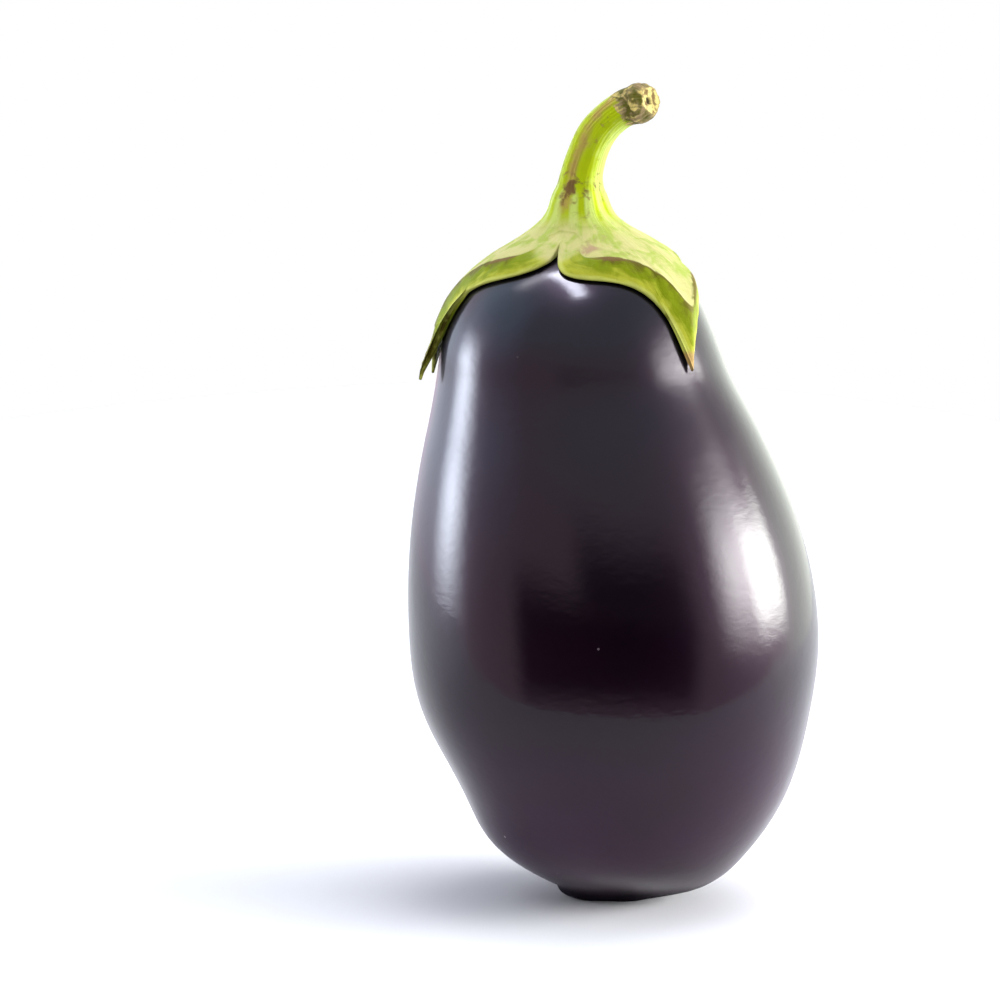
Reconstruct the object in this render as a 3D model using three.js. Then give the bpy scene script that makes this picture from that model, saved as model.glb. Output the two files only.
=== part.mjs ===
// A globe eggplant, picked with its calyx and a stub of stem, standing on its blossom end.
// Millimetres, +Z up, origin at the middle of the small flat spot it rests on. The front is -Y.
// Azimuths are in degrees round the fruit: 0 faces the front and 90 faces +X.
// Reach is the distance down the skin from the top of the fruit, where the stem grows.
import * as THREE from "three";

// Fruit: the meridian's sizes
const FRUIT_HEIGHT = 167;
const FRUIT_RADIUS = 51.4;
const WIDEST_HEIGHT = 69;
const NECK_RADIUS = 35.4;
const NECK_HEIGHT = 137;
const NECK_SLOPE = 12.9;
const FLAT_SPOT_RADIUS = 10.5;
const FOOT_SLOPE = 18.5;

// Fruit: how far each bend of the meridian reaches, as lengths of curve handles
const FOOT_HANDLE = 27.8;
const BELLY_HANDLES = { below: 29.2, above: 32.2 };
const NECK_HANDLES = { below: 12.6, above: 23 };
const CROWN_HANDLE = 18;

// Fruit: sideways shift of its slices towards +X, evenly spaced from the foot to the crown
const SLICE_SHIFTS = [5.2, 3.5, 0.9, 0.2, -1.8, -4.9, -8.5, -7.6];
const FOOT_SHIFT_HEIGHT = 4;

// Fruit: a faint three-sidedness, and local lobes and hollows, as a share of the radius.
// Each fades over so many degrees round the fruit and so many millimetres of height.
const THREE_SIDES = { share: 0.008, azimuth: 70 };
const LOBES = [
  { azimuth: -90, height: 12, across: 55, tall: 10, share: 0.085 },
  { azimuth: -90, height: 34, across: 55, tall: 13, share: -0.03 },
  { azimuth: -5, height: 2, across: 40, tall: 6, share: -0.3 },
  { azimuth: 90, height: 4, across: 40, tall: 6, share: 0.07 },
];
const FRUIT_SIDES = 64;
const FRUIT_ROWS = { foot: 16, flank: 13, crown: 10 };
const NORMAL_STEP = 0.5;

// Calyx: each sepal's places on the skin, as azimuth and reach: the notch that parts it from the
// sepal before it, the handles that shape its two margins, and its tip.
const SEPALS = [
  {
    notch: [-20, 16],
    before: [[-16, 36.6], [43, 11.1]],
    tip: [47, 50.7],
    after: [[92, 34], [64, 30]],
    lift: 0.5,
    columns: 32,
  },
  {
    notch: [88, 21],
    before: [[90, 34], [120, 22]],
    tip: [124, 46],
    after: [[155, 34], [128, 22]],
    lift: 1.6,
    columns: 16,
  },
  {
    notch: [156, 19],
    before: [[158, 35], [182, 21]],
    tip: [186, 50],
    after: [[210, 35], [190, 21]],
    lift: 0.8,
    columns: 16,
  },
  {
    notch: [212, 20],
    before: [[216, 38], [258, 18]],
    tip: [260, 55.8],
    after: [[266, 50], [262.5, 52]],
    lift: 1.3,
    columns: 16,
  },
  {
    notch: [266, 48],
    before: [[267, 52], [269, 54]],
    tip: [274, 56.6],
    after: [[322.4, 33.6], [268.7, 19]],
    lift: 3.6,
    columns: 24,
  },
];

// Calyx: heights over the skin of the fruit. The side that the stem leans to is thicker.
const SKIN_GAP = 0.35;
const RIM_GAP = 0.5;
const RIM_THICKNESS = 0.9;
const RIM_CURL_WIDTH = 2.5;
const FOLD_WIDTH = 4.7;
const FOLD_FADE = 3;
const FLANK_ROUNDNESS = 0.85;
const FOLD = { height: 3.2, tilt: 0.7 };
const BLADE = { height: 2.2, tilt: 0.4 };
const THICK_AZIMUTH = 70;
const TIP_LIFT_LENGTH = 15;
const TIP_LIFT_POWER = 1.5;
const FLARE_HEIGHT = 1.8;
const FLARE_SPREAD = 3.6;
const COLLAR_REACH = 9.5;
const BAND_ROWS = 4;
const BLADE_ROWS = 7;
const LINING_ROWS = 6;
const CROWN_GAP = 0.9;
const FOLD_SEARCHES = 20;

// Stem: the line through its middle, and its radius at shares of that line's length
const STEM_LINE = [
  [-8.4, 0, 169.6],
  [-8.5, 0, 177],
  [-7.5, -0.4, 185],
  [-3.6, -1.5, 193.6],
  [3.1, -3, 199.3],
  [10.4, -4.7, 201.6],
];
const STEM_RADII = [
  [0.05, 9.2],
  [0.1, 8.5],
  [0.155, 8],
  [0.205, 7.3],
  [0.255, 6.1],
  [0.34, 5.45],
  [0.45, 5.2],
  [0.57, 5.2],
  [0.69, 5.2],
  [0.8, 5.3],
  [0.89, 5.6],
  [0.96, 5.5],
  [0.988, 5.2],
  [1, 4.7],
];
const STEM_SIDES = 52;
const STEM_RIBS = { count: 5, atBase: 0.055, atEnd: 0.02, azimuth: 20 };
const CUT_DISH = { along: 0.988, radius: 2.8 };
const PITH_ALONG = 0.973;

const { degToRad, radToDeg, euclideanModulo, lerp, smoothstep, clamp } = THREE.MathUtils;

// The fruit's half outline, from the middle of the flat spot up to the crown.
function meridianSpans() {
  const flatEdge = new THREE.Vector2(FLAT_SPOT_RADIUS, 0);
  const widest = new THREE.Vector2(FRUIT_RADIUS, WIDEST_HEIGHT);
  const neck = new THREE.Vector2(NECK_RADIUS, NECK_HEIGHT);
  const crown = new THREE.Vector2(0, FRUIT_HEIGHT);
  const slope = degToRad(NECK_SLOPE);
  const upNeck = new THREE.Vector2(-Math.sin(slope), Math.cos(slope));
  const footSlope = degToRad(FOOT_SLOPE);
  const upFoot = new THREE.Vector2(Math.cos(footSlope), Math.sin(footSlope));
  const foot = new THREE.CubicBezierCurve(
    flatEdge,
    flatEdge.clone().addScaledVector(upFoot, FOOT_HANDLE),
    new THREE.Vector2(widest.x, widest.y - BELLY_HANDLES.below),
    widest,
  );
  const flank = new THREE.CubicBezierCurve(
    widest,
    new THREE.Vector2(widest.x, widest.y + BELLY_HANDLES.above),
    neck.clone().addScaledVector(upNeck, -NECK_HANDLES.below),
    neck,
  );
  const top = new THREE.CubicBezierCurve(
    neck,
    neck.clone().addScaledVector(upNeck, NECK_HANDLES.above),
    new THREE.Vector2(CROWN_HANDLE, FRUIT_HEIGHT),
    crown,
  );
  return { foot, flank, top };
}

const meridian = meridianSpans();
const upperMeridian = new THREE.CurvePath();
upperMeridian.add(meridian.flank);
upperMeridian.add(meridian.top);
const sliceShift = new THREE.SplineCurve(
  SLICE_SHIFTS.map((shift, i) => new THREE.Vector2(shift, i)),
);

// A point of the skin, from its place on the round outline: swollen a little and shifted with its slice.
function skinPoint(radius, height, azimuth) {
  const turn = degToRad(azimuth);
  const sides = Math.cos(3 * degToRad(azimuth - THREE_SIDES.azimuth));
  let swell = THREE_SIDES.share * sides * smoothstep(height, 0, WIDEST_HEIGHT);
  for (const lobe of LOBES) {
    const round = euclideanModulo(azimuth - lobe.azimuth + 180, 360) - 180;
    const away = (round / lobe.across) ** 2;
    swell += lobe.share * Math.exp(-away - ((height - lobe.height) / lobe.tall) ** 2);
  }
  const r = radius * (1 + swell);
  const shift = sliceShift.getPoint(clamp(height / FRUIT_HEIGHT, 0, 1)).x;
  const x = shift * smoothstep(height, 0, FOOT_SHIFT_HEIGHT);
  return new THREE.Vector3(x + r * Math.sin(turn), -r * Math.cos(turn), height);
}

// The same, from an azimuth and a reach down from the crown.
function skinAtReach(azimuth, reach) {
  const along = 1 - reach / upperMeridian.getLength();
  const place = upperMeridian.getPoint(clamp(along, 0, 1));
  return skinPoint(place.x, place.y, azimuth);
}

// A point at a height over the skin, along the skin's own normal.
function overSkin(azimuth, reach, height) {
  const down = skinAtReach(azimuth, reach + NORMAL_STEP);
  down.sub(skinAtReach(azimuth, reach - NORMAL_STEP));
  const round = skinAtReach(azimuth + NORMAL_STEP, reach);
  round.sub(skinAtReach(azimuth - NORMAL_STEP, reach));
  const normal = down.cross(round).normalize();
  return skinAtReach(azimuth, reach).addScaledVector(normal, height);
}

// The fruit: its meridian turned about the upright axis, then each point moved to its place on the skin.
function fruitGeometry() {
  const profile = [
    new THREE.Vector2(0, 0),
    ...meridian.foot.getSpacedPoints(FRUIT_ROWS.foot),
    ...meridian.flank.getSpacedPoints(FRUIT_ROWS.flank).slice(1),
    ...meridian.top.getSpacedPoints(FRUIT_ROWS.crown).slice(1),
  ];
  const geometry = new THREE.LatheGeometry(profile, FRUIT_SIDES);
  geometry.rotateX(Math.PI / 2);
  const places = geometry.getAttribute("position");
  for (let i = 0; i < places.count; i++) {
    const x = places.getX(i);
    const y = places.getY(i);
    const azimuth = radToDeg(Math.atan2(x, -y));
    const moved = skinPoint(Math.hypot(x, y), places.getZ(i), azimuth);
    places.setXYZ(i, moved.x, moved.y, moved.z);
  }
  geometry.computeVertexNormals();
  return geometry;
}

// The calyx's margin: one { azimuth, reach, sepal } for each column, all the way round.
// It is drawn on the skin laid flat, where an azimuth counts as its arc at the fruit's neck.
function marginPoints() {
  const arc = degToRad(1) * NECK_RADIUS;
  const flat = ([azimuth, reach]) => new THREE.Vector2(azimuth * arc, reach);
  const side = (notch, handles, tip, count) => {
    const places = [notch, ...handles, tip].map(flat);
    return new THREE.CubicBezierCurve(...places).getSpacedPoints(count);
  };
  return SEPALS.flatMap((sepal, k) => {
    const next = SEPALS[(k + 1) % SEPALS.length];
    const turn = k + 1 === SEPALS.length ? 360 : 0;
    const nextNotch = [next.notch[0] + turn, next.notch[1]];
    const half = sepal.columns / 2;
    const before = side(sepal.notch, sepal.before, sepal.tip, half);
    const after = side(nextNotch, sepal.after, sepal.tip, half).reverse();
    return [...before.slice(0, half), ...after.slice(0, half)].map((place) => ({
      azimuth: place.x / arc,
      reach: place.y,
      sepal,
    }));
  });
}

const margin = marginPoints();
const marginOnSkin = margin.map((m) => skinAtReach(m.azimuth, m.reach));

// The shortest way from a point of the skin to the calyx's margin.
function distanceToMargin(point) {
  const edge = new THREE.Line3();
  const nearest = new THREE.Vector3();
  let shortest = Infinity;
  marginOnSkin.forEach((start, i) => {
    edge.set(start, marginOnSkin[(i + 1) % marginOnSkin.length]);
    edge.closestPointToPoint(point, true, nearest);
    shortest = Math.min(shortest, nearest.distanceTo(point));
  });
  return shortest;
}

// A column of the calyx runs from its margin point (inward 0) to the collar round the stem (inward 1).
function columnPlace(column, inward) {
  const m = margin[column];
  const collarAzimuth = SEPALS[0].notch[0] + (360 * column) / margin.length;
  const azimuth = lerp(m.azimuth, collarAzimuth, inward);
  const reach = lerp(m.reach, COLLAR_REACH, inward);
  const depth = distanceToMargin(skinAtReach(azimuth, reach));
  return { azimuth, reach, depth, sepal: m.sepal };
}

// How far inward a column crosses the fold, which keeps a steady distance from the margin.
function foldInward(column) {
  let [low, high] = [0, 1];
  for (let i = 0; i < FOLD_SEARCHES; i++) {
    const middle = (low + high) / 2;
    if (columnPlace(column, middle).depth < FOLD_WIDTH) low = middle;
    else high = middle;
  }
  return high;
}

// Height of the calyx's underside over the skin: it curls up at the rim and lifts towards some tips.
function undersideHeight({ reach, depth, sepal }) {
  const curl = RIM_GAP * (1 - smoothstep(depth, 0, RIM_CURL_WIDTH));
  const [, tipReach] = sepal.tip;
  const nearTip = smoothstep(reach, tipReach - TIP_LIFT_LENGTH, tipReach);
  return SKIN_GAP + curl + sepal.lift * nearTip ** TIP_LIFT_POWER;
}

// Height of its outside: it climbs from the rim to a raised fold, dips to the blade and flares up
// to the stem.
function outsideHeight(place) {
  const { azimuth, reach, depth } = place;
  const lean = Math.cos(degToRad(azimuth - THICK_AZIMUTH));
  const fold = FOLD.height + FOLD.tilt * lean;
  const blade = BLADE.height + BLADE.tilt * lean;
  const climb = Math.min(depth / FOLD_WIDTH, 1) ** FLANK_ROUNDNESS;
  const past = Math.max(depth - FOLD_WIDTH, 0);
  const top = lerp(blade, fold, Math.exp(-past / FOLD_FADE));
  const flare = FLARE_HEIGHT * Math.exp(-(reach - COLLAR_REACH) / FLARE_SPREAD);
  return undersideHeight(place) + lerp(RIM_THICKNESS, top, climb) + flare;
}

// A ring of the calyx, at each column's own place inward and height.
function calyxRing(inwardOf, heightOf) {
  return margin.map((_, column) => {
    const place = columnPlace(column, inwardOf(column));
    return overSkin(place.azimuth, place.reach, heightOf(place));
  });
}

const stemLine = new THREE.CatmullRomCurve3(
  STEM_LINE.map((p) => new THREE.Vector3(...p)),
);

// A ring of the stem, square to its middle line, with shallow ribs that fade towards the cut end.
function stemRing([along, radius]) {
  const middle = stemLine.getPointAt(along);
  const ahead = stemLine.getTangentAt(along);
  const front = new THREE.Vector3(0, -1, 0).addScaledVector(ahead, ahead.y);
  front.normalize();
  const right = ahead.clone().cross(front);
  const depth = lerp(STEM_RIBS.atBase, STEM_RIBS.atEnd, along);
  return Array.from({ length: STEM_SIDES }, (_, i) => {
    const azimuth = SEPALS[0].notch[0] + (360 * i) / STEM_SIDES;
    const turn = degToRad(azimuth);
    const rib = Math.cos(STEM_RIBS.count * degToRad(azimuth - STEM_RIBS.azimuth));
    const r = radius * (1 + depth * rib);
    return middle
      .clone()
      .addScaledVector(right, r * Math.sin(turn))
      .addScaledVector(front, r * Math.cos(turn));
  });
}

// A closed skin laced over rings of points, which may differ in number. The end rings are single points.
function lacedGeometry(rings) {
  const points = rings.flat();
  const faces = [];
  let start = 0;
  rings.slice(1).forEach((ring, k) => {
    const below = rings[k].length;
    const above = ring.length;
    const next = start + below;
    let [i, j] = [0, 0];
    while (i < below || j < above) {
      const a = start + (i % below);
      const b = next + (j % above);
      if (below > 1 && (above === 1 || i / below <= j / above) && i < below) {
        faces.push(a, start + ((i + 1) % below), b);
        i++;
      } else if (above > 1 && j < above) {
        faces.push(a, next + ((j + 1) % above), b);
        j++;
      } else break;
    }
    start = next;
  });
  const geometry = new THREE.BufferGeometry().setFromPoints(points);
  geometry.setIndex(faces);
  geometry.computeVertexNormals();
  return geometry;
}

// One skin: up the underside's lining, round the rim, over the fold and the blade, and along the stem.
function calyxAndStemGeometry() {
  const folds = margin.map((_, column) => foldInward(column));
  const lining = Array.from({ length: LINING_ROWS + 1 }, (_, i) =>
    calyxRing(() => 1 - i / LINING_ROWS, undersideHeight),
  );
  const band = Array.from({ length: BAND_ROWS + 1 }, (_, i) =>
    calyxRing((column) => (folds[column] * i) / BAND_ROWS, outsideHeight),
  );
  const blade = Array.from({ length: BLADE_ROWS }, (_, i) =>
    calyxRing(
      (column) => lerp(folds[column], 1, (i + 1) / BLADE_ROWS),
      outsideHeight,
    ),
  );
  const crown = skinAtReach(0, 0);
  crown.z += CROWN_GAP;
  return lacedGeometry([
    [crown],
    ...lining,
    ...band,
    ...blade,
    ...STEM_RADII.map(stemRing),
    stemRing([CUT_DISH.along, CUT_DISH.radius]),
    [stemLine.getPointAt(PITH_ALONG)],
  ]);
}

const skinMaterial = new THREE.MeshStandardMaterial({
  color: 0x1d1220,
  roughness: 0.2,
  metalness: 0,
});
const greenMaterial = new THREE.MeshStandardMaterial({
  color: 0x9bab2e,
  roughness: 0.65,
  metalness: 0,
});

const eggplant = new THREE.Group();
const fruit = new THREE.Mesh(fruitGeometry(), skinMaterial);
fruit.name = "fruit";
eggplant.add(fruit);
const calyxAndStem = new THREE.Mesh(calyxAndStemGeometry(), greenMaterial);
calyxAndStem.name = "calyx_and_stem";
eggplant.add(calyxAndStem);

export default eggplant;
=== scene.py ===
"""A fresh globe eggplant that stands on its foot, with its green calyx and the stub of its stem.

The fruit and the calyx hold their sizes in millimetres, and their meshes get them in metres. The
finishes and the studio are in metres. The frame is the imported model's: +Z is up, the middle of
the resting spot is the origin and -Y is the front. An azimuth runs in degrees from the front (0)
to the right (90). A reach is a distance down the skin from the crown, where the stem grows.
"""

import logging
import math
from dataclasses import dataclass
from enum import Enum

import bpy
import numpy as np
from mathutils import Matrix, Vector, noise

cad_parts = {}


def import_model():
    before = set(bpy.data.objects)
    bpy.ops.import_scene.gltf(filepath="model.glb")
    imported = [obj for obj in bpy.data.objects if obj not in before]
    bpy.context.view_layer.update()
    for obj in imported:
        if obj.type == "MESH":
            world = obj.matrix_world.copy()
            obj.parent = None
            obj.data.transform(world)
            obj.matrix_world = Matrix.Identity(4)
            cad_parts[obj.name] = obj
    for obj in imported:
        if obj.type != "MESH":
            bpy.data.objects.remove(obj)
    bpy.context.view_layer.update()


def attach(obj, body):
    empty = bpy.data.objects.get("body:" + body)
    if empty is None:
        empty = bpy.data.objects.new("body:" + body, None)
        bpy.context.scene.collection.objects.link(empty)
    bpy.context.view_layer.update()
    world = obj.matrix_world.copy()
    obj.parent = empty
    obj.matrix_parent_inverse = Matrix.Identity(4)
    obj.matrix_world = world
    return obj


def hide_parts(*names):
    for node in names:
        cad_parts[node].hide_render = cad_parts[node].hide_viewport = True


log = logging.getLogger("eggplant")

Array = np.ndarray
Item = bpy.types.Object
Material = bpy.types.Material
Socket = bpy.types.NodeSocket
Tree = bpy.types.NodeTree

MM = 0.001
CURVE_STEPS = 600


def smoothstep(value: Array, low: float, high: float) -> Array:
    """Eases from 0 at low to 1 at high."""
    share = np.clip((np.asarray(value, float) - low) / (high - low), 0.0, 1.0)
    return share * share * (3.0 - 2.0 * share)


def lerp(start: Array, end: Array, share: Array) -> Array:
    """Goes from start to end in a straight line."""
    return start + (end - start) * share


def bell(value: Array, middle: float, width: float) -> Array:
    """A smooth bump that is 1 at its middle and fades over its width."""
    return np.exp(-(((np.asarray(value, float) - middle) / width) ** 2))


def turn_between(azimuth: Array, middle: float) -> Array:
    """The shortest turn from a middle azimuth to each azimuth, in degrees."""
    return np.mod(np.asarray(azimuth, float) - middle + 180.0, 360.0) - 180.0


def distances_along(points: Array) -> Array:
    """How far along a polyline each of its points lies."""
    steps = np.linalg.norm(np.diff(points, axis=0), axis=1)
    return np.concatenate(([0.0], np.cumsum(steps)))


def evenly_along(points: Array, count: int) -> Array:
    """Sets points at equal distances along a polyline.

    Args:
        points: The polyline's corners, one a row.
        count: How many equal steps to make.

    Returns:
        count + 1 points, from the first corner to the last.
    """
    gone = distances_along(points)
    wanted = np.linspace(0.0, gone[-1], count + 1)
    return np.stack([np.interp(wanted, gone, axis) for axis in points.T], axis=1)


def bezier(corners: list, count: int) -> Array:
    """Draws a cubic Bezier curve as evenly spaced points.

    Args:
        corners: Start, two handles and end.
        count: How many equal steps to make.

    Returns:
        count + 1 points.
    """
    a, b, c, d = np.array(corners, float)
    t = np.linspace(0.0, 1.0, CURVE_STEPS)[:, None]
    drawn = a * (1 - t) ** 3 + 3 * b * t * (1 - t) ** 2 + 3 * c * t**2 * (1 - t) + d * t**3
    return evenly_along(drawn, count)


def roughness_at(places: Array, scale: float, seed: float) -> Array:
    """Reads smooth noise at places.

    Args:
        places: One place a row.
        scale: How many bumps there are to a unit of length.
        seed: Which stretch of the noise is read.

    Returns:
        A value from about -1 to 1 for each place.
    """
    start = Vector((seed, 3.1 * seed, -1.7 * seed))
    return np.array([noise.noise(Vector(place) * scale + start) for place in places])


class Stretch(Enum):
    """The three stretches of the fruit's outline."""

    FOOT = "foot"
    FLANK = "flank"
    TOP = "top"


@dataclass(frozen=True)
class Lobe:
    """A swelling of the skin, or a valley where its share is below zero."""

    azimuth: float
    height: float
    across: float
    tall: float
    share: float


@dataclass
class FruitForm:
    """The form of the fruit's skin, from the same values as the part's source."""

    height: float = 167.0
    radius: float = 51.4
    widest_height: float = 69.0
    neck_radius: float = 35.4
    neck_height: float = 137.0
    neck_slope: float = 12.9
    flat_spot_radius: float = 10.5
    foot_slope: float = 18.5
    foot_handle: float = 27.8
    belly_handle_below: float = 29.2
    belly_handle_above: float = 32.2
    neck_handle_below: float = 12.6
    neck_handle_above: float = 23.0
    crown_handle: float = 18.0
    slice_shifts: tuple = (5.2, 3.5, 0.9, 0.2, -1.8, -4.9, -8.5, -7.6)
    foot_shift_height: float = 4.0
    three_sides_share: float = 0.008
    three_sides_azimuth: float = 70.0
    normal_step: float = 0.5
    reach_steps: int = 800
    lobes: tuple = (
        Lobe(azimuth=-90, height=12, across=55, tall=10, share=0.085),
        Lobe(azimuth=-90, height=34, across=55, tall=13, share=-0.03),
        Lobe(azimuth=-5, height=2, across=40, tall=6, share=-0.3),
        Lobe(azimuth=90, height=4, across=40, tall=6, share=0.07),
    )

    def __post_init__(self) -> None:
        """Draws the line from the crown down to the widest height, with its distances."""
        top = self.line(Stretch.TOP, self.reach_steps)[::-1]
        flank = self.line(Stretch.FLANK, self.reach_steps)[::-1]
        self.down_line = np.concatenate((top, flank[1:]))
        self.down_reach = distances_along(self.down_line)

    def line(self, stretch: Stretch, count: int) -> Array:
        """Draws a stretch of the round fruit's outline.

        Args:
            stretch: Which stretch, from its lower end to its upper end.
            count: How many equal steps to make.

        Returns:
            Distances from the axis, with their heights.
        """
        slope = math.radians(self.neck_slope)
        up_neck = np.array([-math.sin(slope), math.cos(slope)])
        neck = np.array([self.neck_radius, self.neck_height])
        wide = np.array([self.radius, self.widest_height])
        if stretch is Stretch.FLANK:
            above = wide + np.array([0.0, self.belly_handle_above])
            return bezier([wide, above, neck - self.neck_handle_below * up_neck, neck], count)
        if stretch is Stretch.TOP:
            handle = neck + self.neck_handle_above * up_neck
            return bezier([neck, handle, [self.crown_handle, self.height], [0.0, self.height]], count)
        slope = math.radians(self.foot_slope)
        edge = np.array([self.flat_spot_radius, 0.0])
        handle = edge + self.foot_handle * np.array([math.cos(slope), math.sin(slope)])
        return bezier([edge, handle, wide - np.array([0.0, self.belly_handle_below]), wide], count)

    def slice_shift(self, height: Array) -> Array:
        """How far to the right each height's slice lies.

        Args:
            height: The heights.

        Returns:
            The shifts, on a smooth curve through the named ones.
        """
        shifts = np.array(self.slice_shifts)
        last = len(shifts) - 1
        place = np.clip(height / self.height, 0.0, 1.0) * last
        k = np.minimum(place.astype(int), last - 1)
        t = place - k
        start = shifts[k]
        end = shifts[k + 1]
        leave = (end - shifts[np.maximum(k - 1, 0)]) / 2
        arrive = (shifts[np.minimum(k + 2, last)] - start) / 2
        cubic = (2 * start - 2 * end + leave + arrive) * t**3
        square = (-3 * start + 3 * end - 2 * leave - arrive) * t**2
        return cubic + square + leave * t + start

    def skin(self, radius: Array, height: Array, azimuth: Array) -> Array:
        """Places points of the round outline on the real skin.

        Args:
            radius: Distance of each point from the upright axis on the round outline.
            height: Height of each point.
            azimuth: Azimuth of each point.

        Returns:
            One point a row, in millimetres.
        """
        turn = np.radians(azimuth)
        sides = np.cos(3 * np.radians(azimuth - self.three_sides_azimuth))
        fade = 1.0 - smoothstep(-height, -self.widest_height, 0.0)
        swell = self.three_sides_share * sides * fade
        for lobe in self.lobes:
            away = (turn_between(azimuth, lobe.azimuth) / lobe.across) ** 2
            above = ((height - lobe.height) / lobe.tall) ** 2
            swell = swell + lobe.share * np.exp(-away - above)
        r = radius * (1 + swell)
        shift = self.slice_shift(height) * smoothstep(height, 0.0, self.foot_shift_height)
        return np.stack([shift + r * np.sin(turn), -r * np.cos(turn), height], axis=-1)

    def at_reach(self, azimuth: Array, reach: Array) -> Array:
        """Finds points of the skin.

        Args:
            azimuth: Azimuth of each point.
            reach: Reach of each point.

        Returns:
            One point a row, in millimetres.
        """
        radius = np.interp(reach, self.down_reach, self.down_line[:, 0])
        height = np.interp(reach, self.down_reach, self.down_line[:, 1])
        return self.skin(radius, height, azimuth)

    def over(self, azimuth: Array, reach: Array, above: Array) -> Array:
        """Points at a height over the skin, along the skin's own normal.

        Args:
            azimuth: Azimuth of each point.
            reach: Reach of each point.
            above: Height of each point over the skin.

        Returns:
            One point a row, in millimetres.
        """
        step = self.normal_step
        down = self.at_reach(azimuth, reach + step) - self.at_reach(azimuth, reach - step)
        across = self.at_reach(azimuth + step, reach) - self.at_reach(azimuth - step, reach)
        normal = np.cross(down, across)
        normal /= np.linalg.norm(normal, axis=1)[:, None]
        return self.at_reach(azimuth, reach) + normal * above[:, None]


class Side(Enum):
    """The two sides of the calyx."""

    LINING = "lining"
    OUTSIDE = "outside"


class Shading:
    """The nodes of one material, world or group, added and linked with short calls."""

    def __init__(self, tree: Tree) -> None:
        """Starts from an empty tree."""
        self.tree = tree
        tree.nodes.clear()

    def feed(self, socket: Socket, value: object) -> None:
        """Links a socket to another, or sets it.

        Args:
            socket: The socket that takes the value.
            value: Another socket, a number, a vector or a colour.
        """
        if isinstance(value, Socket):
            self.tree.links.new(value, socket)
        else:
            socket.default_value = value

    def node(self, kind: str, fed: dict | None = None, **settings: object) -> bpy.types.Node:
        """Adds a node.

        Args:
            kind: The node's type name.
            fed: What its inputs take, by their names or numbers.
            settings: Options by their names.

        Returns:
            The node.
        """
        made = self.tree.nodes.new(kind)
        for name, value in settings.items():
            setattr(made, name, value)
        for name, value in (fed or {}).items():
            self.feed(made.inputs[name], value)
        return made

    def math(self, operation: str, *values: object) -> Socket:
        """Does sums on sockets and numbers."""
        return self.node("ShaderNodeMath", dict(enumerate(values)), operation=operation).outputs[0]

    def vector_math(self, operation: str, fed: dict, output: str = "Vector") -> Socket:
        """Does sums on vectors."""
        return self.node("ShaderNodeVectorMath", fed, operation=operation).outputs[output]

    def ease(self, value: Socket, low: float, high: float) -> Socket:
        """Eases from 0 at low to 1 at high."""
        fed = {"Value": value, "From Min": low, "From Max": high}
        return self.node("ShaderNodeMapRange", fed, interpolation_type="SMOOTHSTEP").outputs["Result"]

    def span(self, value: Socket, start: float, end: float) -> Socket:
        """Spreads a share from 0 to 1 between two numbers."""
        fed = {"Value": value, "To Min": start, "To Max": end}
        return self.node("ShaderNodeMapRange", fed).outputs["Result"]

    def blend(self, share: object, start: object, end: object) -> Socket:
        """Mixes two colours, the second by its share."""
        return self.node("ShaderNodeMix", {0: share, 6: start, 7: end}, data_type="RGBA").outputs[2]

    def attribute(self, name: str, output: str = "Fac") -> Socket:
        """Reads one of the piece's own attributes."""
        return self.node("ShaderNodeAttribute", attribute_name=name).outputs[output]

    def ragged(self, name: str, noise: Socket, low: float, high: float) -> Socket:
        """One of the piece's own attributes, with noise spread between two numbers added."""
        return self.math("ADD", self.attribute(name), self.span(noise, low, high))

    def object_places(self) -> Socket:
        """Each point's place on the object, in metres."""
        return self.node("ShaderNodeTexCoord").outputs["Object"]

    def stretched(self, places: Socket, scale: tuple) -> Socket:
        """Scales places before a pattern reads them."""
        return self.node("ShaderNodeMapping", {"Vector": places, "Scale": scale}).outputs["Vector"]

    def noise(self, places: Socket, scale: object, detail: float, warp: float = 0.0) -> Socket:
        """Noise from 0 to 1, with its bumps to a unit, its finer layers and its distortion."""
        fed = {"Vector": places, "Scale": scale, "Detail": detail, "Distortion": warp}
        return self.node("ShaderNodeTexNoise", fed).outputs["Fac"]

    def cells(self, places: Socket, scale: float) -> Socket:
        """The distance to the middle of the nearest of many scattered cells."""
        return self.node("ShaderNodeTexVoronoi", {"Vector": places, "Scale": scale}).outputs["Distance"]

    def bump(self, height: Socket, strength: float, distance: float) -> Socket:
        """Turns a height into a bumped normal; the distance is a height of 1, in metres."""
        fed = {"Height": height, "Strength": strength, "Distance": distance}
        return self.node("ShaderNodeBump", fed).outputs["Normal"]

    def surface(self, fed: dict) -> None:
        """Adds the surface shader with its inputs, and the material's output."""
        made = self.node("ShaderNodeBsdfPrincipled", fed)
        self.node("ShaderNodeOutputMaterial", {"Surface": made.outputs["BSDF"]})


def blank_material(name: str) -> tuple[Material, Shading]:
    """Makes a material with an empty node tree.

    Args:
        name: The material's name.

    Returns:
        The material and its nodes.
    """
    material = bpy.data.materials.new(name)
    material.use_nodes = True
    return material, Shading(material.node_tree)


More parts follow.
